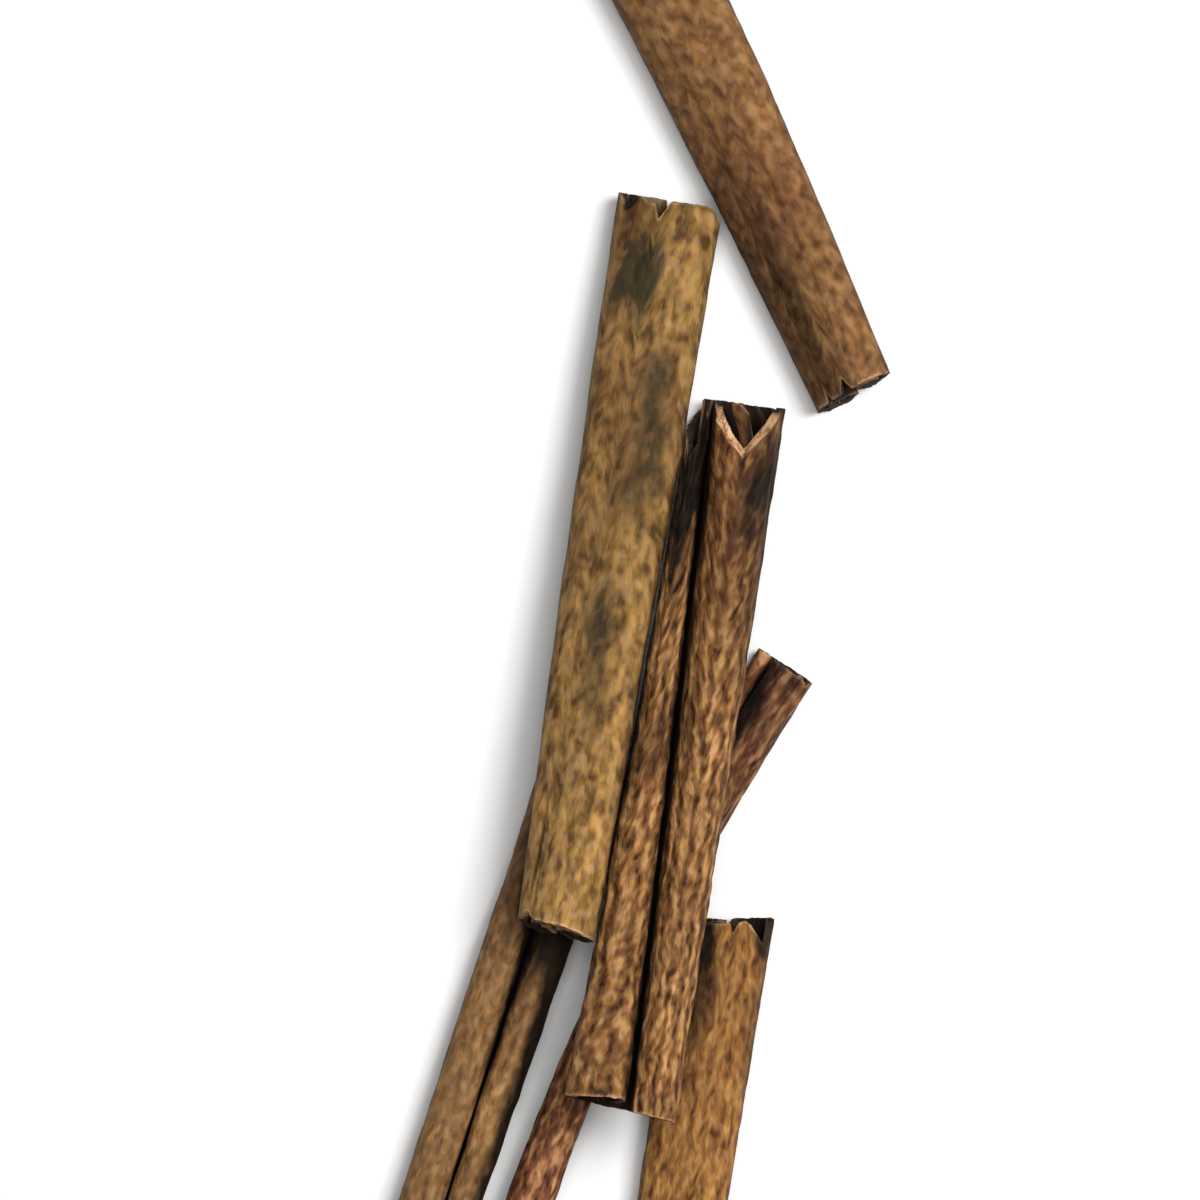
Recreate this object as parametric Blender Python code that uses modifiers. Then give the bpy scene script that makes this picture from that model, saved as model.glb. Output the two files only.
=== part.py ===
"""Stack of cinnamon sticks: six cassia quills lying across one another on a table.

Every stick is one sheet of bark that has rolled up from both of its long edges, so its section is
two curls side by side, joined by the sheet's flat back. The sheet is drawn flat as a grid and each
of its points is then rolled: the two curls are spirals, the stick may taper, twist and bow, and the
sawn ends are slanted, chipped and split. Solidify gives the bark its thickness, and a flat is taken
off wherever a stick bears on the table.

Lengths in the tables are millimetres, and the finished objects are in metres. X runs to the right
and Y up the length of the stack as it is seen from above; Z is up. The origin is on the table, at
the middle of the stack. The head of a stick is its end with the larger Y.
"""

import math
from typing import NamedTuple

import bmesh
import bpy
from mathutils import Vector

MM = 0.001
TAU = 2 * math.pi

COLUMNS = 38  # grid steps across the sheet, from one free edge to the other
ROWS = 8  # grid steps along the sheet
SEAM_GAP = 0.3  # between the two curls where they meet
CROWN = 0.45  # rise of the back between the two curls
FLAT_DEPTH = 0.12  # bark taken off where a stick bears on the table
TABLE = 400.0  # side of the block that takes the flats off

BACK_UP, SEAM_UP = 1, -1


class Chip(NamedTuple):
    """A V-shaped piece missing from a sawn end. All but the depth are sheet coordinates, as in
    section()."""

    start: float
    deepest: float
    stop: float
    depth: float


class End(NamedTuple):
    """A sawn end: slopes of the cut across and through the stick, and the chips out of its edge."""

    across: float
    through: float
    chips: tuple = ()


class Stick(NamedTuple):
    """One quill. Triples are values at its head, middle and foot, and left and right are as seen
    from above."""

    name: str
    colour: tuple
    upper_side: int
    head: tuple  # X, Y of the seam line at the head
    foot: tuple  # X, Y of the seam line at the foot
    left_curl: tuple  # outer diameters
    right_curl: tuple
    turns: tuple  # of the left and the right curl
    tip: tuple  # degrees the section leans to the right
    bark: float  # thickness
    lap_gap: float  # between one turn and the next
    bow: float  # sideways, to the right, at mid-length
    rise: float | None  # degrees the foot is propped up by what it lies on; None if it lies flat
    head_end: End
    foot_end: End


STICKS = (
    Stick(
        name="stick_tan",
        colour=(0.33, 0.19, 0.075),
        upper_side=BACK_UP,
        head=(7.6, 43.6),
        foot=(-4.85, -36.0),
        left_curl=(6.2, 6.0, 4.95),
        right_curl=(6.4, 5.8, 5.1),
        turns=(1.35, 1.45),
        tip=(0, -14, -34),
        bark=0.95,
        lap_gap=0.35,
        bow=0.15,
        rise=6.05,
        head_end=End(
            across=0.0,
            through=0.12,
            chips=(
                Chip(-2.2, -1.75, -1.25, 1.4),
                Chip(-0.72, -0.35, 0.45, 2.4),
                Chip(-1.1, -0.8, 0.3, 0.6),
                Chip(1.6, 2.6, 3.8, 2.3),
            ),
        ),
        foot_end=End(across=-0.2, through=0.1, chips=(Chip(-1.6, -1.1, -0.6, 0.9),)),
    ),
    Stick(
        name="stick_centre",
        colour=(0.24, 0.12, 0.055),
        upper_side=SEAM_UP,
        head=(12.5, 21.8),
        foot=(3.02, -55.5),
        left_curl=(3.4, 5.2, 7.7),
        right_curl=(8.6, 7.1, 5.9),
        turns=(1.0, 1.5),
        tip=(-6, 0, 2),
        bark=0.9,
        lap_gap=0.45,
        bow=0.1,
        rise=8.0,
        head_end=End(
            across=0.0,
            through=0.14,
            chips=(
                Chip(2.75, 4.0, 5.6, 5.2),
                Chip(7.6, 9.3, 10.1, 5.0),
                Chip(-5.3, -3.4, -1.5, 7.0),
                Chip(-3.7, -2.2, -0.7, 3.0),
                Chip(1.7, 2.0, 2.3, 1.2),
            ),
        ),
        foot_end=End(
            across=-0.12,
            through=-0.1,
            chips=(Chip(-8.0, -4.9, -3.0, 1.1), Chip(0.4, 0.9, 1.5, 0.8)),
        ),
    ),
    Stick(
        name="stick_slim",
        colour=(0.19, 0.085, 0.04),
        upper_side=SEAM_UP,
        head=(19.0, -6.4),
        foot=(-13.0, -80.4),
        left_curl=(2.4, 2.0, 1.9),
        right_curl=(5.45, 5.3, 5.9),
        turns=(0.75, 1.3),
        tip=(-4, -38, -60),
        bark=0.7,
        lap_gap=0.3,
        bow=-3.0,
        rise=None,
        head_end=End(across=0.17, through=0.05, chips=(Chip(2.6, 3.0, 3.4, 0.6),)),
        foot_end=End(across=-0.05, through=0.0, chips=(Chip(3.5, 4.2, 4.9, 1.1),)),
    ),
    Stick(
        name="stick_left",
        colour=(0.24, 0.13, 0.06),
        upper_side=SEAM_UP,
        head=(-1.1, -16.6),
        foot=(-25.5, -92.6),
        left_curl=(5.2, 5.4, 5.7),
        right_curl=(5.3, 4.7, 3.1),
        turns=(1.3, 1.1),
        tip=(-4, 0, 6),
        bark=0.85,
        lap_gap=0.35,
        bow=0.0,
        rise=None,
        head_end=End(across=0.05, through=0.0, chips=(Chip(-5.0, -4.2, -3.4, 1.2),)),
        foot_end=End(
            across=-0.08,
            through=0.05,
            chips=(Chip(-5.0, -4.0, -3.0, 1.8), Chip(2.9, 3.4, 3.9, 0.8)),
        ),
    ),
    Stick(
        name="stick_right",
        colour=(0.27, 0.13, 0.045),
        upper_side=BACK_UP,
        head=(14.1, -35.0),
        foot=(1.3, -114.3),
        left_curl=(5.6, 5.4, 5.2),
        right_curl=(5.6, 5.4, 5.2),
        turns=(1.35, 1.3),
        tip=(-4, -7, -10),
        bark=0.9,
        lap_gap=0.35,
        bow=0.0,
        rise=None,
        head_end=End(
            across=-0.2,
            through=0.08,
            chips=(
                Chip(0.55, 2.6, 2.95, 3.9),
                Chip(5.2, 7.4, 14.0, 4.5),
                Chip(0.2, 0.38, 0.6, 1.3),
            ),
        ),
        foot_end=End(across=0.08, through=-0.05, chips=(Chip(-1.1, -0.6, -0.1, 1.3),)),
    ),
    Stick(
        name="stick_top",
        colour=(0.21, 0.1, 0.045),
        upper_side=BACK_UP,
        head=(-7.2, 95.0),
        foot=(27.95, 22.7),
        left_curl=(7.0, 6.3, 5.6),
        right_curl=(6.8, 6.2, 5.2),
        turns=(1.4, 1.35),
        tip=(4, -12, -28),
        bark=0.95,
        lap_gap=0.35,
        bow=0.6,
        rise=None,
        head_end=End(
            across=0.06,
            through=-0.04,
            chips=(Chip(0.0, 0.5, 1.0, 1.4), Chip(-2.0, -1.6, -1.2, 0.8)),
        ),
        foot_end=End(
            across=0.0,
            through=0.16,
            chips=(Chip(-0.1, 0.3, 0.55, 1.6), Chip(-1.0, -0.8, -0.62, 1.6)),
        ),
    ),
)


def along(values, s):
    """Smooth value at s, from 0 at the head to 1 at the foot, through the three given ones."""
    head, middle, foot = values
    return (
        head * (1 - s) * (1 - 2 * s)
        + middle * 4 * s * (1 - s)
        + foot * s * (2 * s - 1)
    )


def section(stick, q, s):
    """(x, y) on the bark's middle surface, with the back towards +y and the seam at x = 0.

    The sheet coordinate q is -1 to 1 across the back, and beyond it each curl's angle in radians.
    """
    side = 1 if q > 0 else -1
    pitch = stick.bark + stick.lap_gap
    # a curl is narrower across than its first radius says, because it winds inwards
    radii = [
        (along(curl, s) + pitch / 2 - stick.bark) / 2
        for curl in (stick.left_curl, stick.right_curl)
    ]
    radius = radii[side > 0]
    back_height = sum(radii) / 2
    centre = radius - 0.75 * pitch + (stick.bark + SEAM_GAP) / 2
    if abs(q) <= 1:
        return q * centre, back_height + CROWN * math.cos(q * math.pi / 2) ** 2
    angle = abs(q) - 1
    turned = radius - pitch * angle / TAU
    x = centre + turned * math.sin(angle)
    y = back_height - radius + turned * math.cos(angle)
    return side * x, y


def cut_depth(end, q, x, z):
    """How far the sawn end stands back from a square cut."""
    chipped = 0
    for chip in end.chips:
        edge = chip.start if q < chip.deepest else chip.stop
        chipped = max(chipped, chip.depth * (edge - q) / (edge - chip.deepest))
    return end.across * x + end.through * z + chipped


def rolled(stick, length, q, s):
    """Where a point of the flat sheet lies once it is rolled, with the head at the origin and the
    stick running down -Y."""
    x, y = section(stick, q, s)
    z = stick.upper_side * y
    tip = math.radians(along(stick.tip, s))
    x, z = x * math.cos(tip) + z * math.sin(tip), z * math.cos(tip) - x * math.sin(tip)
    first = cut_depth(stick.head_end, q, x, z)
    last = length - cut_depth(stick.foot_end, q, x, z)
    down = first + (last - first) * s
    bow = stick.bow * 4 * s * (1 - s)
    return Vector((x + bow, -down, z)) * MM


def bark_sheet(stick, length):
    """The sheet of bark, rolled up, as an open surface."""
    bm = bmesh.new()
    bmesh.ops.create_grid(bm, x_segments=COLUMNS, y_segments=ROWS, size=1)
    low_q = -1 - TAU * stick.turns[0]
    high_q = 1 + TAU * stick.turns[1]
    for vert in bm.verts:
        q = low_q + (high_q - low_q) * (vert.co.x + 1) / 2
        vert.co = rolled(stick, length, q, (1 - vert.co.y) / 2)
    if stick.upper_side == SEAM_UP:
        bmesh.ops.reverse_faces(bm, faces=bm.faces)
    mesh = bpy.data.meshes.new(stick.name)
    bm.to_mesh(mesh)
    bm.free()
    mesh.shade_smooth()
    return mesh


def bark_material(stick):
    material = bpy.data.materials.new(stick.name)
    material.use_nodes = True
    shader = material.node_tree.nodes["Principled BSDF"]
    shader.inputs["Base Color"].default_value = (*stick.colour, 1)
    shader.inputs["Roughness"].default_value = 0.75
    shader.inputs["Metallic"].default_value = 0
    return material


def evaluated_points(obj):
    """World positions of the object's vertices, with its modifiers applied."""
    bpy.context.view_layer.update()
    final = obj.evaluated_get(bpy.context.evaluated_depsgraph_get())
    mesh = final.to_mesh()
    points = [final.matrix_world @ vert.co for vert in mesh.vertices]
    final.to_mesh_clear()
    return points


def lowest(points):
    return min(points, key=lambda point: point.z)


def lay_down(obj, flat):
    """Turns a flat-lying stick until both of its halves bear on the table, and sets the stick's
    lowest point just under the table top, where its flat will be."""
    for _ in range(3 if flat else 0):
        points = evaluated_points(obj)
        middle = sum(point.y for point in points) / len(points)
        head_low = lowest([point for point in points if point.y > middle])
        foot_low = lowest([point for point in points if point.y < middle])
        span = math.dist(head_low.xy, foot_low.xy)
        obj.rotation_euler.x += math.asin((foot_low.z - head_low.z) / span)
    obj.location.z -= lowest(evaluated_points(obj)).z + FLAT_DEPTH * MM


def make_stick(stick, collection, base, table):
    run = Vector(stick.foot) - Vector(stick.head)
    rise = math.radians(stick.rise or 0)
    length = run.length / math.cos(rise)
    obj = bpy.data.objects.new(stick.name, bark_sheet(stick, length))
    obj.data.materials.append(bark_material(stick))
    collection.objects.link(obj)
    obj.parent = base
    obj.location = (stick.head[0] * MM, stick.head[1] * MM, 0)
    obj.rotation_euler = (-rise, 0, math.atan2(run.x, -run.y))

    bark = obj.modifiers.new("bark thickness", "SOLIDIFY")
    bark.thickness = stick.bark * MM
    bark.offset = 0
    bark.use_even_offset = True

    lay_down(obj, flat=stick.rise is None)

    flat = obj.modifiers.new("flat on the table", "BOOLEAN")
    flat.operation = "DIFFERENCE"
    flat.solver = "EXACT"
    flat.object = table
    return obj


def make_table(collection):
    """The block under the table top, which takes the flats off the sticks."""
    bpy.ops.mesh.primitive_cube_add(size=TABLE * MM, location=(0, 0, -TABLE * MM / 2))
    table = bpy.context.object
    table.name = "table_cutter"
    table.hide_render = True
    table.display_type = "WIRE"
    for other in table.users_collection:
        other.objects.unlink(table)
    collection.objects.link(table)
    return table


def new_collection(name):
    collection = bpy.data.collections.new(name)
    bpy.context.scene.collection.children.link(collection)
    return collection


def main():
    for obj in list(bpy.data.objects):
        bpy.data.objects.remove(obj)
    parts = new_collection("cinnamon_stick_stack")
    table = make_table(new_collection("cutters"))

    base = bpy.data.objects.new("stack_base", None)
    parts.objects.link(base)
    sticks = [make_stick(stick, parts, base, table) for stick in STICKS]

    points = [point for obj in sticks for point in evaluated_points(obj)]
    for axis in (0, 1):
        values = [point[axis] for point in points]
        base.location[axis] = -(min(values) + max(values)) / 2


main()
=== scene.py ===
"""Looks of the stack of cinnamon sticks.

Each stick of the CAD frame is made again as one finely divided sheet of bark, rolled up the same
way and laid where its CAD node lies. The sheet has an outer face with bark relief, a smoother inner
face, and sawn, chipped edges. Fibres, stains, painted shade and painted highlights are stored on
the mesh as attributes, and procedural materials turn them into colour, roughness and bump.

Lengths in the tables are millimetres. A sheet coordinate q is -1 to 1 across the flat back of a
stick, and beyond it each curl's angle in radians, to the left (-) and to the right (+) as seen from
above. s runs from 0 at a stick's head to 1 at its foot.
"""

import math
from typing import NamedTuple

import bpy
import numpy as np
from mathutils import Matrix, Vector


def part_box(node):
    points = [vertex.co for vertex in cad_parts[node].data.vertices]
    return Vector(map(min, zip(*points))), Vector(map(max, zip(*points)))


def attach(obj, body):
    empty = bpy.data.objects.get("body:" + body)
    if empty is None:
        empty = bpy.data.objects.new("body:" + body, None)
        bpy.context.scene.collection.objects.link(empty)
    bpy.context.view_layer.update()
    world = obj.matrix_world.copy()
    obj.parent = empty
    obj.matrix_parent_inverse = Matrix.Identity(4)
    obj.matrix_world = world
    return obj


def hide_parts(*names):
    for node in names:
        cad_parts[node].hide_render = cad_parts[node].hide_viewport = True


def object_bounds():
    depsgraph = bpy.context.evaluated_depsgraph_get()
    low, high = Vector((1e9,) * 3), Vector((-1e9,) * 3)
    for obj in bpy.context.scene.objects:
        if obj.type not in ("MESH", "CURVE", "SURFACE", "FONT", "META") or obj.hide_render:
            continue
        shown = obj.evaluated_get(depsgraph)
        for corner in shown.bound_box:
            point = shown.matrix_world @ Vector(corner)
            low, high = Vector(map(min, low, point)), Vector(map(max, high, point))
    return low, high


MM = 0.001
TAU = 2 * math.pi

SEAM_GAP = 0.3  # between the two curls where they meet
CROWN = 0.45  # rise of the back between the two curls
BACK_UP, SEAM_UP = 1, -1

OUTER_STEP = 0.17  # between the columns of the outer face, on its outer turn
HIDDEN_STEP = 0.6  # between the columns of the turns inside the curls
RIDGE_SPACING = 1.45  # between the lengthwise ridges of the bark
ROWS = 222  # steps along a stick
RIM_STEPS = 5  # steps across the thickness of the bark at its ends


class Chip(NamedTuple):
    """A V-shaped piece missing from a sawn end. start, deepest and stop are sheet coordinates."""

    start: float
    deepest: float
    stop: float
    depth: float
    bevel: float = 0.0  # how much further the outer face is chipped than the inner


class End(NamedTuple):
    """A sawn end: slopes of the cut across and through the stick, and the chips out of its edge."""

    across: float
    through: float
    chips: tuple = ()


class Stick(NamedTuple):
    """One quill. Triples are values at its head, middle and foot."""

    name: str
    upper_side: int
    run: tuple  # X, Y from the head to the foot
    left_curl: tuple  # outer diameters
    right_curl: tuple
    turns: tuple  # of the left and the right curl
    tip: tuple  # degrees the section leans to the right
    bark: float  # thickness
    lap_gap: float  # between one turn and the next
    bow: float  # sideways, to the right, at mid-length
    rise: float | None  # degrees the foot is propped up; None if the stick lies flat
    closed: bool  # whether the curls all but touch along the seam
    head_end: End
    foot_end: End
    wound: float = 0.0  # angle the right curl's free edge is wound further at the head


class Patch(NamedTuple):
    """An uneven oval area of a stick's surface, as seen from above."""

    # "shade" patches are painted shade where negative and painted light where positive, mixed with the
    # bark's uneven tone
    mask: str  # the attribute it is painted into
    s: float
    across: float  # -1 at the left outline of the stick, 1 at the right
    half_s: float
    half_across: float
    strength: float
    slant: float = 0.0  # sideways drift per unit of s


class Look(NamedTuple):
    """How the bark of a stick looks. Colours are sRGB, 0 to 255."""

    dark: tuple
    mid: tuple
    light: tuple
    fibre: tuple  # width and length of a fibre
    contrast: float  # of the fibres
    ridges: float  # contrast of the lengthwise ridges
    gaps: float  # how dark the thin gaps between the fibres are
    mottle: float  # contrast of the broader patches
    flecks: float  # how strongly the small pale flecks show
    relief: float  # height of the fibres
    sway: float  # how far fibres wander sideways
    # hollow: partly the inner bark's own colour and partly painted shade
    hollow: tuple  # colours inside the curls, just behind the head and the foot
    patches: tuple = ()


STICKS = (
    Stick(
        name="stick_tan",
        upper_side=BACK_UP,
        run=(-12.45, -79.6),
        left_curl=(6.2, 6.0, 4.95),
        right_curl=(6.4, 5.8, 5.1),
        turns=(1.35, 1.45),
        tip=(0, -14, -34),
        bark=0.95,
        lap_gap=0.35,
        bow=0.15,
        rise=6.05,
        closed=True,
        head_end=End(
            across=0.0,
            through=0.12,
            chips=(
                Chip(-2.2, -1.75, -1.25, 1.4),
                Chip(-0.6, -0.32, 0.1, 2.2),
                Chip(-1.1, -0.8, 0.3, 0.6),
                Chip(1.6, 2.6, 3.8, 2.3),
            ),
        ),
        foot_end=End(across=-0.2, through=0.1, chips=(Chip(-1.6, -1.1, -0.6, 0.9),)),
    ),
    Stick(
        name="stick_centre",
        upper_side=SEAM_UP,
        run=(-9.48, -77.3),
        left_curl=(3.4, 5.2, 7.7),
        right_curl=(8.6, 7.1, 5.9),
        turns=(1.0, 1.5),
        tip=(-6, 0, 2),
        bark=0.9,
        lap_gap=0.45,
        bow=0.1,
        rise=8.0,
        closed=False,
        head_end=End(
            across=0.0,
            through=0.14,
            chips=(
                Chip(2.75, 4.0, 5.6, 5.3, bevel=0.9),
                Chip(7.6, 9.6, 10.3, 6.5),
                Chip(-5.3, -3.4, -1.5, 7.0),
                Chip(-3.7, -2.2, -0.7, 3.0),
                Chip(1.7, 2.0, 2.3, 1.2),
            ),
        ),
        foot_end=End(
            across=-0.12,
            through=-0.1,
            chips=(Chip(-8.0, -4.9, -3.0, 1.1), Chip(0.4, 0.9, 1.5, 0.8)),
        ),
        wound=0.65,
    ),
    Stick(
        name="stick_slim",
        upper_side=SEAM_UP,
        run=(-32.0, -74.0),
        left_curl=(2.4, 2.0, 1.9),
        right_curl=(5.45, 5.3, 5.9),
        turns=(0.75, 1.3),
        tip=(-4, -38, -60),
        bark=0.7,
        lap_gap=0.3,
        bow=-3.0,
        rise=None,
        closed=False,
        head_end=End(across=0.17, through=0.05, chips=(Chip(2.6, 3.0, 3.4, 0.6),)),
        foot_end=End(across=-0.05, through=0.0, chips=(Chip(3.5, 4.2, 4.9, 1.1),)),
    ),
    Stick(
        name="stick_left",
        upper_side=SEAM_UP,
        run=(-24.4, -76.0),
        left_curl=(5.2, 5.4, 5.7),
        right_curl=(5.3, 4.7, 3.1),
        turns=(1.3, 1.1),
        tip=(-4, 0, 6),
        bark=0.85,
        lap_gap=0.35,
        bow=0.0,
        rise=None,
        closed=True,
        head_end=End(across=0.05, through=0.0, chips=(Chip(-5.0, -4.2, -3.4, 1.2),)),
        foot_end=End(
            across=-0.08,
            through=0.05,
            chips=(Chip(-5.0, -4.0, -3.0, 1.8), Chip(2.9, 3.4, 3.9, 0.8)),
        ),
    ),
    Stick(
        name="stick_right",
        upper_side=BACK_UP,
        run=(-12.8, -79.3),
        left_curl=(5.6, 5.4, 5.2),
        right_curl=(5.6, 5.4, 5.2),
        turns=(1.35, 1.3),
        tip=(-4, -7, -10),
        bark=0.9,
        lap_gap=0.35,
        bow=0.0,
        rise=None,
        closed=True,
        head_end=End(
            across=-0.2,
            through=0.08,
            chips=(
                Chip(0.97, 2.3, 2.75, 3.6, bevel=0.6),
                Chip(5.2, 7.4, 14.0, 4.5),
                Chip(0.2, 0.38, 0.6, 1.3),
            ),
        ),
        foot_end=End(across=0.08, through=-0.05, chips=(Chip(-1.1, -0.6, -0.1, 1.3),)),
    ),
    Stick(
        name="stick_top",
        upper_side=BACK_UP,
        run=(35.15, -72.3),
        left_curl=(7.0, 6.3, 5.6),
        right_curl=(6.8, 6.2, 5.2),
        turns=(1.4, 1.35),
        tip=(4, -12, -28),
        bark=0.95,
        lap_gap=0.35,
        bow=0.6,
        rise=None,
        closed=True,
        head_end=End(
            across=0.06,
            through=-0.04,
            chips=(Chip(0.0, 0.5, 1.0, 1.4), Chip(-2.0, -1.6, -1.2, 0.8)),
        ),
        foot_end=End(
            across=0.0,
            through=0.16,
            chips=(Chip(-0.1, 0.3, 0.55, 1.6), Chip(-1.0, -0.8, -0.62, 1.6)),
        ),
    ),
)

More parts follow.
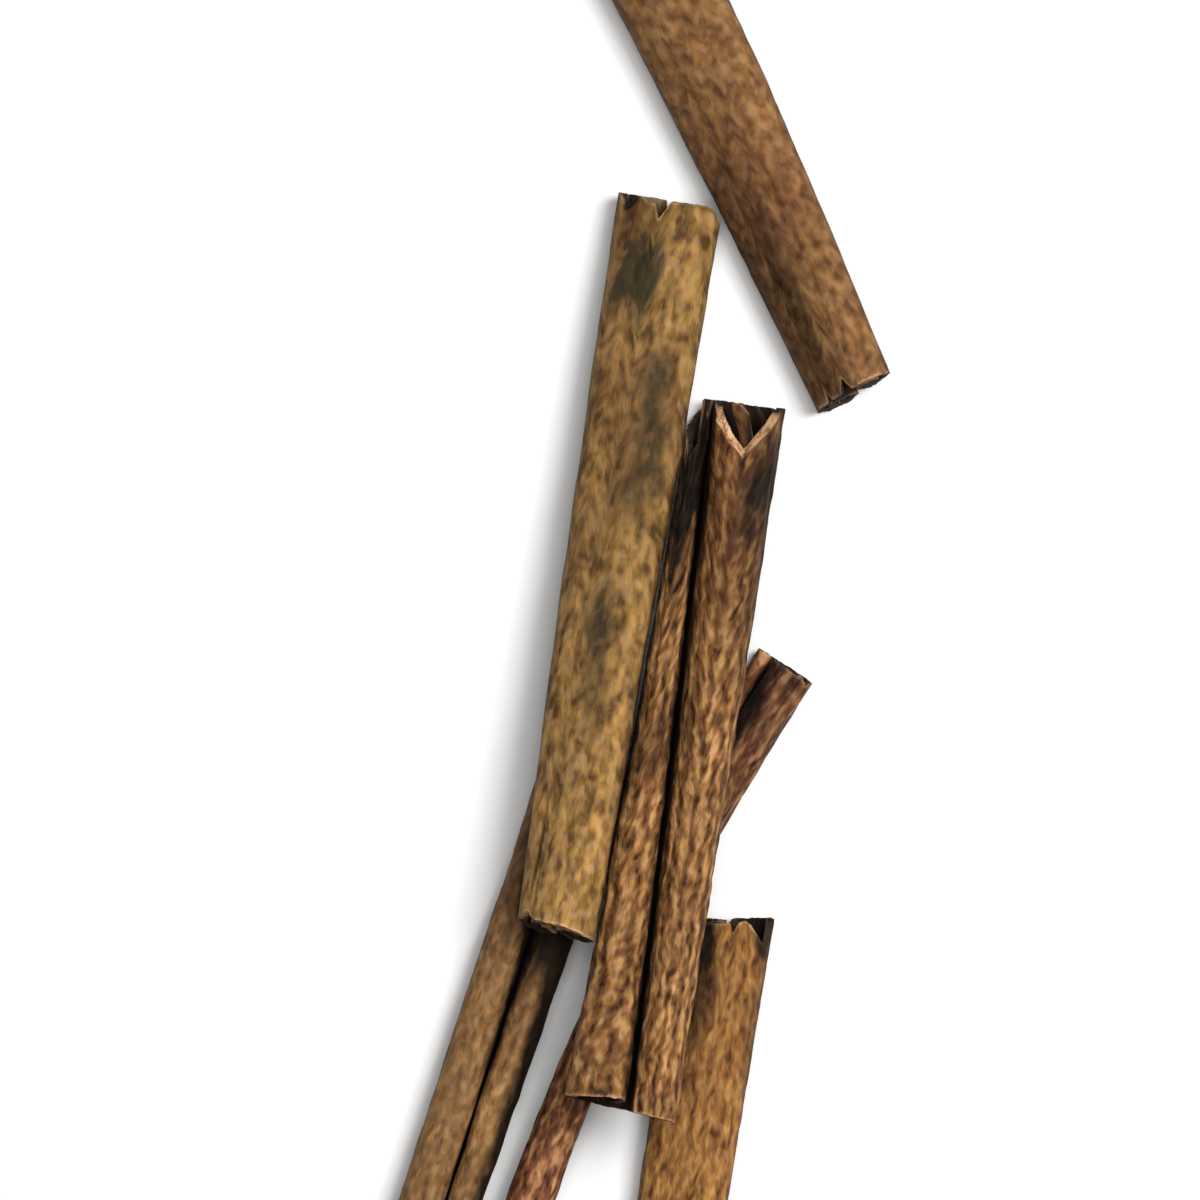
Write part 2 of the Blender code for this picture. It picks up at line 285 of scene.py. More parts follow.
# In the patches, "shade" paints shade and light: shadows cast by neighbouring sticks, dark slits, shaded
# and lit sides, along with the bark's uneven tone
LOOKS = {
    "stick_tan": Look(
        dark=(74, 51, 24),
        mid=(123, 91, 47),
        light=(157, 120, 67),
        fibre=(0.90, 2.2),
        contrast=0.95,
        ridges=0.05,
        gaps=0.12,
        mottle=1.1,
        flecks=0.3,
        relief=0.05,
        sway=0.5,
        hollow=((168, 158, 124), (40, 30, 20)),
        patches=(
            Patch("stain", 0.101, -0.40, 0.062, 0.46, 1.60, -1.8),
            Patch("stain", 0.050, -0.10, 0.016, 0.20, 0.50),
            Patch("stain", 0.250, 0.24, 0.052, 0.42, 0.80),
            Patch("stain", 0.350, 0.35, 0.075, 0.50, 0.75),
            Patch("stain", 0.420, 0.10, 0.060, 0.60, 0.25),
            Patch("stain", 0.585, -0.14, 0.085, 0.36, 0.80),
            Patch("stain", 0.700, 0.02, 0.055, 0.25, 0.45),
            Patch("stain", 0.820, -0.45, 0.085, 0.33, 0.20),
            Patch("warm", 0.300, 0.15, 0.130, 0.80, 0.50),
            Patch("warm", 0.220, -0.60, 0.100, 0.50, 0.35),
            Patch("warm", 0.470, -0.60, 0.060, 0.50, 0.35),
            Patch("warm", 0.035, -0.50, 0.040, 0.50, 0.50),
            Patch("shade", 0.900, 0.20, 0.200, 1.20, 0.20),
            Patch("shade", 0.030, -0.60, 0.040, 0.50, -0.45),
            Patch("shade", 0.097, -0.42, 0.045, 0.36, -0.35, -1.8),
            Patch("shade", 0.270, -0.10, 0.080, 1.00, -0.25),
            Patch("shade", 0.360, -0.10, 0.070, 0.50, -0.22),
            Patch("shade", 0.480, -0.55, 0.070, 0.40, -0.22),
            Patch("shade", 0.600, 0.00, 0.070, 0.35, -0.25),
            # painted shade in the slit beside stick_centre
            Patch("shade", 0.620, 1.00, 0.320, 0.10, -0.80),
            Patch("shade", 0.700, 0.60, 0.230, 0.35, 0.26),
            Patch("shade", 0.940, 0.30, 0.080, 0.85, 0.20),
            Patch("shade", 0.850, -0.55, 0.060, 0.40, 0.18),
            Patch("shade", 0.100, 0.55, 0.110, 0.50, 0.12),
            Patch("groove", 0.925, -0.74, 0.080, 0.06, 0.80, -0.9),
            Patch("groove", 0.026, 0.24, 0.010, 0.08, 0.70),
            Patch("groove", 0.800, 1.00, 0.240, 0.14, -0.50),
            Patch("shade", 0.000, -0.74, 0.010, 0.20, -1.20),
            # painted shade along the head's cut edge
            Patch("shade", 0.001, 0.55, 0.006, 0.45, -0.60),
            # painted highlight along the foot's cut edge
            Patch("shade", 0.995, 0.20, 0.006, 0.90, 0.30),
        ),
    ),
    "stick_centre": Look(
        dark=(50, 25, 10),
        mid=(121, 81, 43),
        light=(179, 136, 86),
        fibre=(0.48, 1.4),
        contrast=0.65,
        ridges=0.24,
        gaps=0.25,
        mottle=0.2,
        flecks=0.05,
        relief=0.10,
        sway=0.5,
        hollow=((38, 21, 14), (38, 21, 14)),
        patches=(
            Patch("shade", 0.072, 0.80, 0.096, 0.50, -0.80),
            # painted shade on the chipped left curl at the head
            Patch("shade", 0.040, -0.30, 0.080, 0.26, -1.00),
            Patch("warm", 0.130, 0.40, 0.150, 0.90, 0.55),
            Patch("shade", 0.150, 0.60, 0.130, 0.60, -0.25),
            # painted shade on the low left curl at the head
            Patch("shade", 0.078, -0.55, 0.138, 0.62, -1.40),
            Patch("shade", 0.260, 0.95, 0.160, 0.25, -0.45),
            Patch("warm", 0.500, -0.45, 0.120, 0.40, 0.35),
            Patch("shade", 0.460, -0.30, 0.085, 0.75, -0.42),
            Patch("shade", 0.440, 0.75, 0.070, 0.35, 0.20),
            Patch("shade", 0.590, -0.40, 0.080, 0.45, 0.18),
            Patch("shade", 0.860, 0.70, 0.120, 0.50, 0.14),
            # painted shade in the slit beside stick_tan
            Patch("shade", 0.420, -1.00, 0.300, 0.14, -0.85),
            Patch("groove", 0.450, -1.00, 0.250, 0.16, -0.30),
            Patch("groove", 0.222, -0.40, 0.006, 0.30, 0.60),
            Patch("groove", 0.820, 0.50, 0.008, 0.08, 1.00),
            # painted highlight on the rim of a pit
            Patch("shade", 0.808, 0.52, 0.006, 0.12, 0.45),
            Patch("groove", 0.970, -0.62, 0.028, 0.06, 1.00),
        ),
    ),
    "stick_slim": Look(
        dark=(46, 19, 9),
        mid=(116, 72, 45),
        light=(185, 136, 91),
        fibre=(0.52, 1.6),
        contrast=0.8,
        ridges=0.15,
        gaps=0.3,
        mottle=0.35,
        flecks=0.05,
        relief=0.09,
        sway=0.5,
        hollow=((44, 26, 18), (44, 26, 18)),
        patches=(
            Patch("warm", 0.300, 0.20, 0.400, 0.90, 0.55),
            # painted shade along the left edge at the head
            Patch("shade", 0.040, -0.95, 0.080, 0.25, -0.40),
            Patch("shade", 0.760, 0.00, 0.090, 1.00, 0.12),
            # painted shade beside the seam at the head
            Patch("shade", 0.080, 0.15, 0.100, 0.20, -0.60),
            Patch("shade", 0.070, 0.45, 0.160, 0.80, -0.48),
        ),
    ),
    "stick_left": Look(
        dark=(73, 48, 26),
        mid=(126, 91, 54),
        light=(169, 131, 87),
        fibre=(0.60, 1.4),
        contrast=0.5,
        ridges=0.1,
        gaps=0.2,
        mottle=0.3,
        flecks=0.1,
        relief=0.08,
        sway=0.4,
        hollow=((48, 31, 21), (48, 31, 21)),
        patches=(
            Patch("shade", 0.150, 0.00, 0.180, 1.20, -0.60),
            # painted shadow cast by stick_tan's foot and by stick_centre
            Patch("shade", 0.270, 0.45, 0.070, 0.70, -0.60),
            Patch("shade", 0.290, 1.00, 0.170, 0.45, -1.00),
            Patch("shade", 0.480, 1.00, 0.250, 0.36, -0.75),
            # painted light on the right curl's shaded side
            Patch("shade", 0.490, 0.30, 0.090, 0.30, 0.50),
            # painted shade in the seam near stick_tan's foot, eased further down
            Patch("shade", 0.330, 0.00, 0.170, 0.16, -0.80),
            Patch("shade", 0.800, 0.02, 0.330, 0.10, 0.25),
            # painted shadow cast by stick_centre
            Patch("shade", 0.620, 0.85, 0.160, 0.35, -0.45),
        ),
    ),
    "stick_right": Look(
        dark=(78, 45, 21),
        mid=(135, 92, 46),
        light=(171, 127, 72),
        fibre=(0.48, 1.4),
        contrast=0.75,
        ridges=0.16,
        gaps=0.2,
        mottle=0.2,
        flecks=0.08,
        relief=0.07,
        sway=0.5,
        hollow=((22, 12, 9), (36, 20, 13)),
        patches=(
            Patch("warm", 0.120, -0.30, 0.120, 0.50, 0.45),
            # painted shadow beside stick_centre, and painted shade at the head's left corner
            Patch("shade", 0.090, -0.47, 0.130, 0.55, -0.75),
            Patch("shade", 0.030, -0.42, 0.040, 0.20, -0.90),
            Patch("shade", 0.350, 0.75, 0.150, 0.40, 0.16),
            # painted shade on the far side of the head and along the right edge
            Patch("shade", 0.000, 0.90, 0.030, 0.30, -0.90),
            Patch("shade", 0.130, 0.95, 0.090, 0.20, -0.40),
        ),
    ),
    "stick_top": Look(
        dark=(76, 47, 23),
        mid=(113, 77, 43),
        light=(145, 105, 63),
        fibre=(0.95, 1.30),
        contrast=0.75,
        ridges=0.03,
        gaps=0.10,
        mottle=0.85,
        flecks=0.22,
        relief=0.04,
        sway=0.2,
        hollow=((84, 70, 54), (64, 50, 38)),
        patches=(
            Patch("warm", 0.700, -0.10, 0.130, 0.90, 0.60),
            Patch("shade", 0.700, -0.20, 0.140, 0.90, -0.16),
            Patch("shade", 0.640, 0.50, 0.100, 0.50, 0.15),
            # painted shade on the left side towards the foot
            Patch("shade", 0.870, -0.60, 0.220, 0.70, -0.62),
            Patch("shade", 0.500, -0.75, 0.250, 0.50, -0.22),
            Patch("shade", 0.950, 0.40, 0.060, 0.70, 0.18),
        ),
    ),
}

STAIN = (44, 41, 27)  # grey-green weathering, sRGB
WARM = (100, 52, 34)  # reddish inner bark showing through, sRGB
SAWN = (196, 154, 114)  # cut edges, sRGB
SAWN_DARK = (96, 60, 36)
FLECK = (180, 142, 98)  # small spots where the bark is worn pale, sRGB
# painted shade further inside the curls
DEEP_SHADE = (14, 8, 6)  # further inside the curls, sRGB

# painted shade in the seam: how dark it is, and the angle of the curls, in units of pi, at which it
# starts to darken
OPEN_SEAM_SHADE = (0.82, 1.22)
CLOSED_SEAM_SHADE = (0.55, 1.32)

# the camera looks straight down; the centre is in the row frame, from the middle of the stack
VIEW_CENTRE = (-0.00071, 0.00865)
VIEW_WIDTH = 0.1308
LENS = 600
SENSOR = 36


def along(values, s):
    """Smooth value at s through the three given ones."""
    head, middle, foot = values
    return head * (1 - s) * (1 - 2 * s) + middle * 4 * s * (1 - s) + foot * s * (2 * s - 1)


def section(stick, q, s):
    """x and y on the bark's middle surface, with the back towards +y and the seam at x = 0."""
    pitch = stick.bark + stick.lap_gap
    left, right = [
        (along(curl, s) + pitch / 2 - stick.bark) / 2 for curl in (stick.left_curl, stick.right_curl)
    ]
    radius = np.where(q > 0, right, left)
    back_height = (left + right) / 2
    centre = radius - 0.75 * pitch + (stick.bark + SEAM_GAP) / 2
    angle = np.maximum(np.abs(q) - 1, 0)
    turned = radius - pitch * angle / TAU
    on_back = np.abs(q) <= 1
    x = np.where(on_back, np.abs(q) * centre, centre + turned * np.sin(angle))
    crown = back_height + CROWN * np.cos(q * math.pi / 2) ** 2
    y = np.where(on_back, crown, back_height - radius + turned * np.cos(angle))
    return np.sign(q) * x, y


def noise(u, v, seed):
    """Smooth noise from -1 to 1, whose features are about one unit across."""
    table = np.random.default_rng(seed).uniform(-1, 1, (97, 257))
    column, row = np.floor(u).astype(int), np.floor(v).astype(int)
    fu, fv = u - column, v - row
    fu, fv = fu * fu * (3 - 2 * fu), fv * fv * (3 - 2 * fv)

    def corner(a, b):
        return table[(column + a) % 97, (row + b) % 257]

    near = corner(0, 0) * (1 - fu) + corner(1, 0) * fu
    far = corner(0, 1) * (1 - fu) + corner(1, 1) * fu
    return near * (1 - fv) + far * fv


def smooth_step(low, high, value):
    t = np.clip((value - low) / (high - low), 0, 1)
    return t * t * (3 - 2 * t)


def column_places(stick):
    """Sheet coordinates of the columns, close together on the outer turn, and the distance of each
    from the middle of the sheet, measured round the rolled sheet."""
    ends = (-1 - TAU * stick.turns[0], 1 + TAU * stick.turns[1])
    fine = np.linspace(*ends, 4001)
    x, y = section(stick, fine, 0.5)
    arc = np.concatenate([[0], np.cumsum(np.hypot(np.diff(x), np.diff(y)))])
    step = np.where(np.abs(fine) < 1 + 1.05 * TAU, OUTER_STEP, HIDDEN_STEP)
    index = np.concatenate([[0], np.cumsum(np.diff(arc) / step[1:])])
    columns = np.interp(np.linspace(0, index[-1], int(index[-1]) // 2 * 2 + 1), index, fine)
    return columns, np.interp(columns, fine, arc - np.interp(0, fine, arc))


def chipped(end, q):
    """Depth of the chips along an end, and how much further they reach into the outer face than
    into the inner."""
    depth, bevel = np.zeros(q.shape), np.zeros(q.shape)
    for chip in end.chips:
        edge = np.where(q < chip.deepest, chip.start, chip.stop)
        part = (edge - q) / (edge - chip.deepest)
        depth = np.maximum(depth, chip.depth * part)
        bevel = np.maximum(bevel, chip.bevel * smooth_step(0, 0.25, part))
    return depth, bevel


def cut_depth(end, q, x, z, layer, seed):
    """How far the sawn end stands back from a square cut, with its splinters."""
    depth, bevel = chipped(end, q)
    ragged = 0.10 * noise(q * 2.3, z * 0.9, seed) + 0.07 * noise(q * 9.1, z * 2.1, seed + 1)
    return end.across * x + end.through * z + depth + bevel * layer / 2 + ragged


def turn_section(stick, x, y, s):
    """Section vectors once the stick is turned the right way up and tipped."""
    z = stick.upper_side * y
    tip = np.radians(along(stick.tip, s))
    return x * np.cos(tip) + z * np.sin(tip), z * np.cos(tip) - x * np.sin(tip)


def rolled(stick, length, q, s, layer, relief, seed):
    """Points of the rolled sheet with the head at the origin and the stick running down -Y, how far
    each is from the nearer sawn end, and how far the outer side faces up. layer is 1 on the outer
    face and -1 on the inner."""
    nudge = 1e-4
    x, y = section(stick, q, s)
    ahead, behind = section(stick, q + nudge, s), section(stick, q - nudge, s)
    dx, dy = ahead[0] - behind[0], ahead[1] - behind[1]
    size = np.hypot(dx, dy)
    offset = layer * stick.bark / 2 + relief
    out_x, out_y = -dy / size, dx / size
    x, z = turn_section(stick, x + out_x * offset, y + out_y * offset, s)
    first = cut_depth(stick.head_end, q, x, z, layer, seed)
    last = length - cut_depth(stick.foot_end, q, x, z, layer, seed + 7)
    down = first + (last - first) * s
    bow = stick.bow * 4 * s * (1 - s)
    points = np.stack([x + bow, -down, z], axis=-1)
    facing = turn_section(stick, out_x, out_y, s)[1]
    return points, np.minimum(down - first, last - down), facing


def fibres(look, u, v, seed):
    """Raised wavy fibres, from -1 in the furrows to 1 on the crests."""
    width, length = look.fibre
    drift = look.sway * (noise(u / 3.0, v / 6.0, seed) + 0.4 * noise(u / 1.2, v / 2.5, seed + 1))
    coarse = noise((u + drift) / (1.3 * width), v / (1.3 * length), seed + 2)
    fine = noise((u + drift) / (0.8 * width), v / length, seed + 5)
    return np.clip(0.8 * coarse + 0.5 * fine, -1, 1)


def surface_relief(look, u, v, fibre, groove, seed):
    """Height of the outer face above its plain shape."""
    swell = 0.07 * noise(u / 2.4, v / 15.0, seed + 11) + 0.05 * noise(u / 1.1, v / 5.0, seed + 12)
    pits = smooth_step(0.6, 0.95, noise(u / 0.6, v / 1.2, seed + 13))
    raised = look.relief * (fibre - 0.6) + swell - 0.05
    return raised - 1.2 * look.relief * pits - 0.35 * np.clip(groove, -1, 1)


def seam_filler(q, depth):
    """Thickening that all but closes the seam, apart from its very ends."""
    angle = np.abs(q) - 1
    at_seam = smooth_step(1.3 * math.pi, 1.4 * math.pi, angle)
    at_seam = at_seam * smooth_step(1.7 * math.pi, 1.6 * math.pi, angle)
    return 0.11 * at_seam * smooth_step(0.3, 0.9, depth)


def plan_masks(stick, look, points, facing, s):
    """Attributes painted from above: the sum of each mask's patches at every point."""
    x = points[..., 0] - stick.bow * 4 * s * (1 - s)
    half = np.where(x > 0, x.max(axis=1, keepdims=True), -x.min(axis=1, keepdims=True))
    across = x / half
    seen = smooth_step(-0.4, 0.1, facing)
    masks = {name: np.zeros(x.shape) for name in ("stain", "warm", "shade", "groove")}
    for number, patch in enumerate(look.patches):
        side = (across - patch.across - patch.slant * (s - patch.s)) / patch.half_across
        reach = np.hypot(side, (s - patch.s) / patch.half_s)
        reach = reach + 0.22 * noise(across * 4.0, s * 26.0, 200 + number)
        reach = reach + 0.16 * noise(across * 13.0, s * 80.0, 300 + number)
        masks[patch.mask] += patch.strength * seen * smooth_step(1.3, 0.2, reach)
    return masks


def grid_faces(columns, rows, flip):
    """Quads of a grid of points that is stored row by row."""
    corner = (np.arange(rows - 1)[:, None] * columns + np.arange(columns - 1)).ravel()
    quads = np.stack([corner, corner + 1, corner + 1 + columns, corner + columns], axis=1)
    return quads[:, ::-1] if flip else quads


class Sheets:
    """Collects grids of points, with their attributes, into one mesh."""

    def __init__(self):
        self.points, self.faces, self.values = [], [], {}
        self.count = 0

    def add(self, points, flip, **values):
        rows, columns = points.shape[:2]
        self.faces.append(grid_faces(columns, rows, flip) + self.count)
        self.points.append(points.reshape(-1, 3))
        self.count += rows * columns
        for name in ("u", "v", "fibre", "stain", "warm", "shade", "cut", "inside", "deep"):
            value = np.broadcast_to(values.get(name, 0.0), (rows, columns))
            self.values.setdefault(name, []).append(value.ravel())

    def mesh(self, name):
        mesh = bpy.data.meshes.new(name)
        faces = np.concatenate(self.faces)
        mesh.from_pydata(np.concatenate(self.points) * MM, [], faces.tolist())
        for key, value in self.values.items():
            attribute = mesh.attributes.new(key, "FLOAT", "POINT")
            attribute.data.foreach_set("value", np.concatenate(value).astype(np.float32))
        mesh.shade_smooth()
        return mesh


def outer_shade(stick, q, facing, masks):
    """Brightness change of the outer face: painted shade on the flanks, in the seam and in the grooves,
    and the shade patches, which paint shade and light.
    """
    flank_shade = -0.55 * smooth_step(0.5, -0.1, facing)
    angle = np.abs(q) - 1
    seam_darkness, start = CLOSED_SEAM_SHADE if stick.closed else OPEN_SEAM_SHADE
    seam = -seam_darkness * smooth_step(start * math.pi, 1.46 * math.pi, angle) * (angle < TAU)
    return masks["shade"] + flank_shade + seam - 0.85 * np.maximum(masks["groove"], 0)


def bark_sheet(stick, look, length, seed):
    """The whole rolled sheet: both faces, the sawn rims and the free edges inside the curls."""
    columns, u = column_places(stick)
    s = np.linspace(0, 1, ROWS + 1)
    s = (s - 0.10 * np.sin(TAU * s) / TAU)[:, None]  # closer together at the ends
    v = s * length
    wound = stick.wound * smooth_step(7.0, columns[-1], columns) * np.exp(-((v / 2.5) ** 2))
    q = columns + wound
    flip = stick.upper_side == SEAM_UP
    fibre = fibres(look, u[None, :], v, seed)
    plain, depth, facing = rolled(stick, length, q, s, 1, 0.0, seed + 20)
    masks = plan_masks(stick, look, plain, facing, s)
    relief = surface_relief(look, u[None, :], v, fibre, masks["groove"], seed)
    if stick.closed:
        relief = relief + seam_filler(q, depth)
    outer, depth, _ = rolled(stick, length, q, s, 1, relief, seed + 20)
    # inner turns of the curls take the hollow colours: painted shade inside the curls
    hidden = smooth_step(1 + 0.8 * TAU, 1 + 1.0 * TAU, np.abs(q))
    # the wound free edge at the head is kept out of that painted shade
    if stick.wound:
        hidden = hidden * (1 - 0.85 * np.exp(-((v / 6.0) ** 2)) * (columns > columns[-1] - 0.5))
    sheets = Sheets()
    sheets.add(
        outer,
        flip,
        u=u,
        v=v,
        fibre=fibre,
        stain=masks["stain"],
        warm=masks["warm"],
        shade=outer_shade(stick, q, facing, masks),
        # the sawn colour on the outer face just at the ends is a painted highlight along the cut edges
        cut=0.7 * np.exp(-((depth / 0.2) ** 2)),
        inside=hidden,
        deep=smooth_step(0.4, 2.6, depth),
    )

    # inner face: hollow colours, with painted shade deeper in from the ends
    inner, depth, _ = rolled(stick, length, q[::3, ::2], s[::3], -1, 0.0, seed + 20)
    deep = smooth_step(0.4, 2.6, depth)
    sheets.add(inner, not flip, u=u[::2], v=v[::3], fibre=fibre[::3, ::2], inside=1.0, deep=deep)

    layers = np.linspace(1, -1, RIM_STEPS)[:, None]
    for row, end in ((0, stick.head_end), (-1, stick.foot_end)):
        height = relief[row] * (1 + layers) / 2 - 0.05 * layers**4
        rim_q = np.broadcast_to(q[row], height.shape)
        rim, _, rim_facing = rolled(stick, length, rim_q, s[row], layers, height, seed + 20)
        bevel = np.minimum(chipped(end, q[row])[1], 1)
        # painted shade on the sawn ends: darker towards the inner face, on the inner turns and where the
        # sheet faces down; bevelled chips get a painted highlight
        shade = masks["shade"][row] - 0.55 * (1 - layers) * (1 - bevel) + 0.55 * bevel
        shade = shade - 0.75 * hidden[row] - 0.75 * smooth_step(0.6, -0.2, rim_facing)
        sheets.add(
            rim, flip == (row == 0), u=u, v=v[row] + layers, fibre=fibre[row], cut=1.0, shade=shade
        )
    # free edges inside the curls: sawn colour mixed with the hollow colours, partly painted shade
    layers = np.array([[1.0, 0.0, -1.0]])
    for column in (0, -1):
        height = relief[:, column][:, None] * (1 + layers) / 2
        edge_q = np.broadcast_to(q[:, column][:, None], height.shape)
        edge, _, _ = rolled(stick, length, edge_q, s, layers, height, seed + 20)
        sheets.add(edge, flip == (column == -1), u=u[column] + layers, v=v, cut=0.6, inside=0.4)
    return sheets


def lowest(points, keep):
    return points[keep][np.argmin(points[keep][:, 2])]


def laying_turn(stick, points, heading):
    """Rotation that lays the stick in its place, found for a flat-lying stick from where each half
    of it bears on the table."""
    pitch = -math.radians(stick.rise or 0)
    if stick.rise is None:
        for _ in range(3):
            turned = points @ np.array(Matrix.Rotation(pitch, 3, "X")).T
            middle = turned[:, 1].mean()
            head, foot = lowest(turned, turned[:, 1] > middle), lowest(turned, turned[:, 1] < middle)
            pitch += math.asin((foot[2] - head[2]) / math.dist(head[:2], foot[:2]))
    return Matrix.Rotation(heading, 3, "Z") @ Matrix.Rotation(pitch, 3, "X")


def make_stick(stick, number):
    look = LOOKS[stick.name]
    low, high = (np.array(corner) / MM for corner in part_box(stick.name))
    run = Vector(stick.run)
    length = run.length / math.cos(math.radians(stick.rise or 0))
    sheets = bark_sheet(stick, look, length, 1000 * (number + 1))
    points = np.concatenate(sheets.points)
    turn = laying_turn(stick, points, math.atan2(run.x, -run.y))
    points = points @ np.array(turn).T
    middle = (points.min(axis=0) + points.max(axis=0)) / 2
    shift = (low + high) / 2 - middle
    shift[2] = high[2] - points[:, 2].max()
    points = points + shift
    points[:, 2] = np.maximum(points[:, 2], low[2])
    sheets.points = [points]
    obj = bpy.data.objects.new(stick.name + "_bark", sheets.mesh(stick.name + "_bark"))
    bpy.context.scene.collection.objects.link(obj)
    obj.data.materials.append(bark_material(stick.name, look))
    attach(obj, "root")
    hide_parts(stick.name)


def linear(colour):
    """Linear RGBA of an sRGB colour given from 0 to 255."""
    values = [c / 255 for c in colour]
    return [c / 12.92 if c <= 0.04045 else ((c + 0.055) / 1.055) ** 2.4 for c in values] + [1.0]


class Nodes:
    """Short calls for the nodes of one material."""

    def __init__(self, name):
        self.material = bpy.data.materials.new(name)
        self.material.use_nodes = True
        self.tree = self.material.node_tree
        self.shader = self.tree.nodes["Principled BSDF"]

    def feed(self, socket, value):
        if isinstance(value, bpy.types.NodeSocket):
            self.tree.links.new(value, socket)
        else:
            socket.default_value = value

    def attribute(self, name):
        node = self.tree.nodes.new("ShaderNodeAttribute")
        node.attribute_name = name
        return node.outputs["Fac"]

    def math(self, operation, a, b=0.0, clamp=False):
        node = self.tree.nodes.new("ShaderNodeMath")
        node.operation = operation
        node.use_clamp = clamp
        self.feed(node.inputs[0], a)
        self.feed(node.inputs[1], b)
        return node.outputs[0]

    def sum(self, *terms):
        """Adds sockets and numbers, each a value or a (value, weight) pair."""
        total = None
        for term in terms:
            value, weight = term if isinstance(term, tuple) else (term, 1.0)
            part = value if weight == 1.0 else self.math("MULTIPLY", value, weight)
            total = part if total is None else self.math("ADD", total, part)
        return total

    def step(self, value, low, high):
        """0 below low and 1 above high, smoothly."""
        node = self.tree.nodes.new("ShaderNodeMapRange")
        node.interpolation_type = "SMOOTHSTEP"
        self.feed(node.inputs["Value"], value)
        node.inputs["From Min"].default_value = low
        node.inputs["From Max"].default_value = high
        return node.outputs["Result"]

    def mix(self, factor, a, b, blend="MIX"):
        node = self.tree.nodes.new("ShaderNodeMix")
        node.data_type = "RGBA"
        node.blend_type = blend
        self.feed(node.inputs[0], factor)
        self.feed(node.inputs[6], a)
        self.feed(node.inputs[7], b)
        return node.outputs[2]

    def vector(self, x, y, z=0.0):
        node = self.tree.nodes.new("ShaderNodeCombineXYZ")
        for socket, value in zip(node.inputs, (x, y, z)):
            self.feed(socket, value)
        return node.outputs[0]

    def noise(self, vector, detail=2.0, roughness=0.5):
        """Noise around 0, seldom beyond -0.3 and 0.3."""
        node = self.tree.nodes.new("ShaderNodeTexNoise")
        self.feed(node.inputs["Vector"], vector)
        node.inputs["Scale"].default_value = 1.0
        node.inputs["Detail"].default_value = detail
        node.inputs["Roughness"].default_value = roughness
        return self.math("SUBTRACT", node.outputs[0], 0.5)

    def ramp(self, factor, stops):
        node = self.tree.nodes.new("ShaderNodeValToRGB")
        self.feed(node.inputs[0], factor)
        elements = node.color_ramp.elements
        while len(elements) < len(stops):
            elements.new(0.5)
        for element, (place, colour) in zip(elements, stops):
            element.position = place
            element.color = colour
        return node.outputs[0]


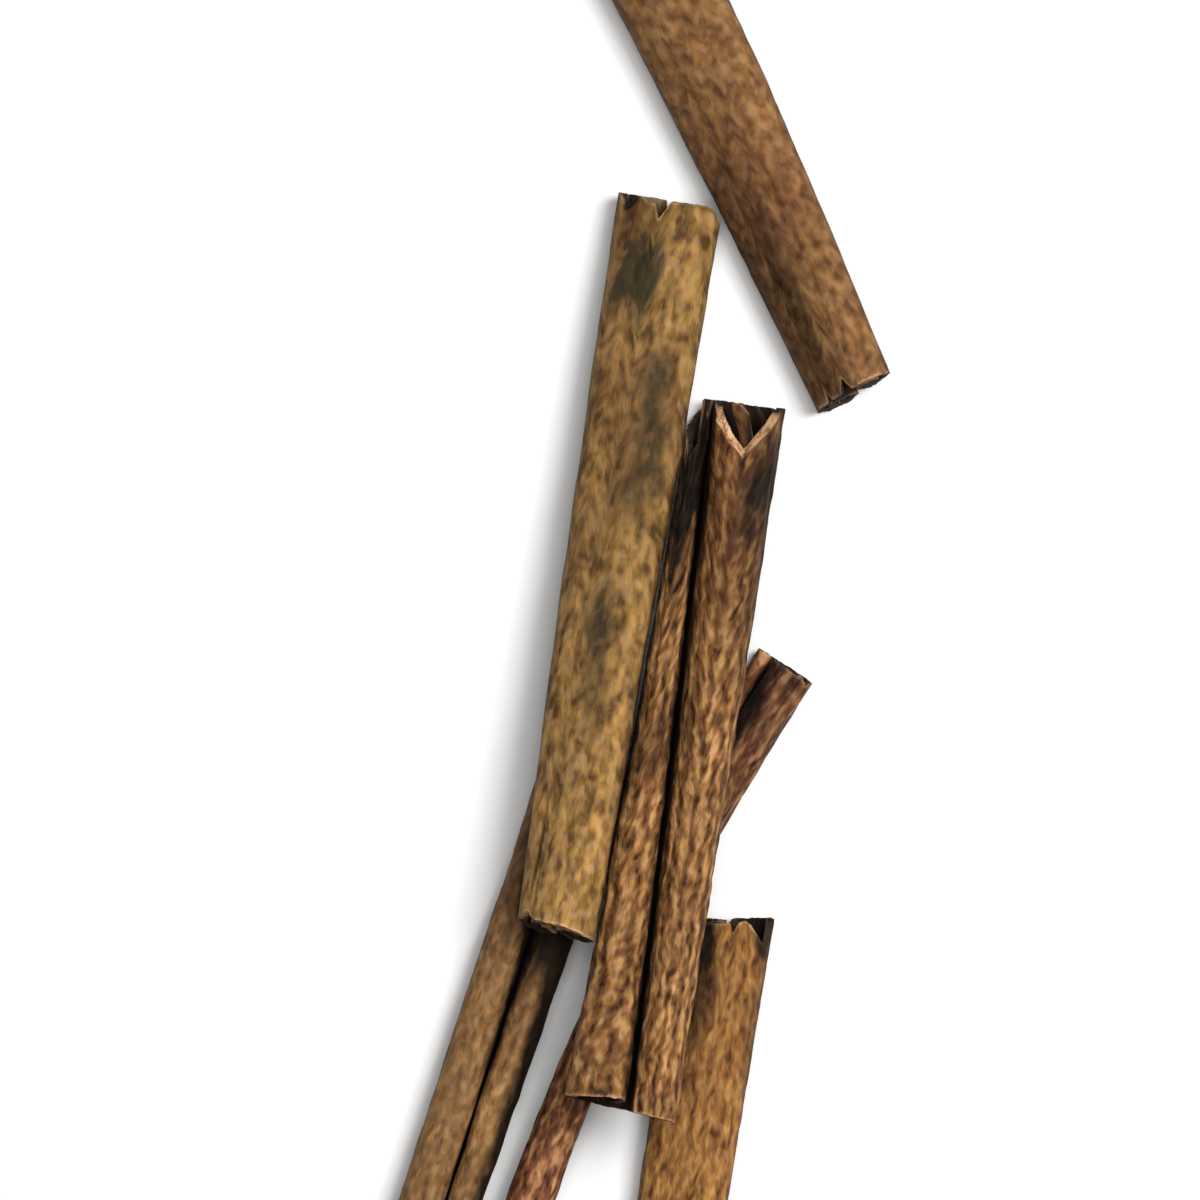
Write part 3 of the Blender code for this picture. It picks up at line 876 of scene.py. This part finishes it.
def bark_material(name, look):
    nodes = Nodes(name)
    u, v = nodes.attribute("u"), nodes.attribute("v")
    width, length = look.fibre

    def sheet_noise(place_u, across, down, layer, **settings):
        place = nodes.vector(
            nodes.math("DIVIDE", place_u, across), nodes.math("DIVIDE", v, down), layer
        )
        return nodes.noise(place, **settings)

    drift = sheet_noise(u, 1.6, 2.8, 0.4, detail=1.0)
    wavy = nodes.sum(u, (drift, 2.0 * look.sway))
    threads = sheet_noise(wavy, width, length, 1.7, detail=1.0, roughness=0.4)
    hairs = sheet_noise(wavy, 0.13, 1.3, 2.9, detail=2.0, roughness=0.6)
    phase = sheet_noise(u, 1.8, 3.5, 20.6, detail=1.0)
    ridges = nodes.math("SINE", nodes.sum((wavy, TAU / RIDGE_SPACING), (phase, 9.0)))
    slots = nodes.step(sheet_noise(wavy, 0.8 * width, 0.9 * length, 6.1, detail=1.0), -0.08, -0.22)
    grain = sheet_noise(u, 0.14, 0.18, 4.2, detail=2.0)
    mottle = sheet_noise(u, 1.1, 2.2, 8.9, detail=3.0, roughness=0.6)
    tone = nodes.sum(
        0.5,
        (threads, 2.0 * look.contrast),
        (hairs, 0.5 * look.contrast),
        (ridges, look.ridges),
        (nodes.attribute("fibre"), 0.25 * look.contrast),
        (grain, 0.25),
        (mottle, 1.6 * look.mottle),
        (slots, -0.8 * look.gaps),
    )
    dark, mid, light = (linear(colour) for colour in (look.dark, look.mid, look.light))
    bark = nodes.ramp(tone, [(0.0, dark), (0.5, mid), (1.0, light)])
    flecks = nodes.step(sheet_noise(u, 0.95, 1.3, 23.6, detail=0.0), -0.02, 0.26)
    bark = nodes.mix(nodes.math("MULTIPLY", flecks, look.flecks), bark, linear(FLECK))
    rust = sheet_noise(u, 0.8, 2.6, 12.3, detail=2.0)
    warm = nodes.sum(nodes.attribute("warm"), (rust, 1.4))
    warm = nodes.math("MAXIMUM", warm, 0.0)
    bark = nodes.mix(warm, bark, nodes.mix(0.5, linear(WARM), bark))
    stain = nodes.math("MULTIPLY", nodes.attribute("stain"), nodes.sum(1.0, (mottle, 2.5)), clamp=True)
    bark = nodes.mix(stain, bark, nodes.mix(0.12, linear(STAIN), bark))
    # inside the curls: the hollow colours, and painted shade further from the ends
    at_head, at_foot = (linear(colour) for colour in look.hollow)
    hollow = nodes.mix(nodes.step(v, 39.0, 41.0), at_head, at_foot)
    hollow = nodes.mix(nodes.attribute("deep"), hollow, linear(DEEP_SHADE))
    cut_tone = nodes.sum(0.5, (threads, 1.6), (grain, 1.8), (mottle, 0.8))
    sawn = nodes.ramp(cut_tone, [(0.0, linear(SAWN_DARK)), (0.6, linear(SAWN))])
    bark = nodes.mix(nodes.attribute("inside"), bark, hollow)
    bark = nodes.mix(nodes.attribute("cut"), bark, sawn)
    # the shade attribute scales the colour: painted shade and painted light
    painted_shading = nodes.math("MAXIMUM", nodes.sum(1.0, nodes.attribute("shade")), 0.06)
    pink, yellow = sheet_noise(u, 0.6, 1.1, 15.2, detail=2.0), sheet_noise(u, 0.5, 0.9, 17.8, detail=2.0)
    red = nodes.math("MULTIPLY", painted_shading, nodes.sum(1.0, (pink, 0.4)))
    blue = nodes.math("MULTIPLY", painted_shading, nodes.sum(1.0, (yellow, 1.2)))
    bark = nodes.mix(1.0, bark, nodes.vector(red, painted_shading, blue), blend="MULTIPLY")

    nodes.feed(nodes.shader.inputs["Base Color"], bark)
    nodes.feed(nodes.shader.inputs["Roughness"], nodes.sum(0.75, (grain, 0.3), (mottle, 0.3)))
    nodes.shader.inputs["Specular IOR Level"].default_value = 0.15
    bump = nodes.tree.nodes.new("ShaderNodeBump")
    bump.inputs["Strength"].default_value = 0.8
    bump.inputs["Distance"].default_value = 0.2 * MM
    height = nodes.sum((threads, 1.2), (hairs, 0.7), (grain, 0.3), (slots, -0.5 * look.gaps))
    nodes.feed(bump.inputs["Height"], height)
    nodes.feed(nodes.shader.inputs["Normal"], bump.outputs["Normal"])
    return nodes.material


def add_light(name, size, place, watts):
    """A round soft light that points at the stack."""
    light = bpy.data.lights.new(name, "AREA")
    light.shape = "DISK"
    light.size = size
    light.energy = watts
    obj = bpy.data.objects.new(name, light)
    obj.location = place
    obj.rotation_euler = (-Vector(place)).to_track_quat("-Z", "Y").to_euler()
    bpy.context.scene.collection.objects.link(obj)


def make_studio(floor_height):
    mesh = bpy.data.meshes.new("floor")
    half = 1.5
    corners = [(-half, -half, 0), (half, -half, 0), (half, half, 0), (-half, half, 0)]
    mesh.from_pydata(corners, [], [(0, 1, 2, 3)])
    floor = bpy.data.objects.new("floor", mesh)
    floor.location.z = floor_height
    bpy.context.scene.collection.objects.link(floor)
    paper = bpy.data.materials.new("floor")
    paper.use_nodes = True
    shader = paper.node_tree.nodes["Principled BSDF"]
    shader.inputs["Base Color"].default_value = (0.86, 0.86, 0.85, 1)
    shader.inputs["Roughness"].default_value = 0.9
    shader.inputs["Specular IOR Level"].default_value = 0.1
    mesh.materials.append(paper)

    world = bpy.data.worlds.new("studio")
    world.use_nodes = True
    world.node_tree.nodes["Background"].inputs["Color"].default_value = (1, 1, 1, 1)
    world.node_tree.nodes["Background"].inputs["Strength"].default_value = 0.14
    bpy.context.scene.world = world

    add_light("key", 0.45, (0.42, 0.20, 0.80), 7.5)
    add_light("overhead", 0.70, (0.05, 0.05, 1.0), 5.5)


def make_camera(box):
    camera = bpy.data.cameras.new("camera")
    camera.lens = LENS
    camera.sensor_width = SENSOR
    camera.clip_end = 20
    low, high = box
    distance = VIEW_WIDTH * LENS / SENSOR
    obj = bpy.data.objects.new("camera", camera)
    middle = [(a + b) / 2 for a, b in zip(low, high)]
    obj.location = (middle[0] + VIEW_CENTRE[0], middle[1] + VIEW_CENTRE[1], middle[2] + distance)
    bpy.context.scene.collection.objects.link(obj)
    bpy.context.scene.camera = obj


def plain(box):
    return [list(map(float, corner)) for corner in box]


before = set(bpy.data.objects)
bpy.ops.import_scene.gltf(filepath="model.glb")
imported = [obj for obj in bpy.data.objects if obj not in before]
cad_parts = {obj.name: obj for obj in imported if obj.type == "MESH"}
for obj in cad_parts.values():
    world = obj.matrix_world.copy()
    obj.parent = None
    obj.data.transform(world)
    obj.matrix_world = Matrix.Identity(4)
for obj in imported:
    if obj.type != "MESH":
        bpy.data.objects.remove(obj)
cad_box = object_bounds()

for number, stick in enumerate(STICKS):
    make_stick(stick, number)

make_camera(cad_box)
make_studio(cad_box[0][2])
bpy.context.scene.view_settings.view_transform = "Standard"
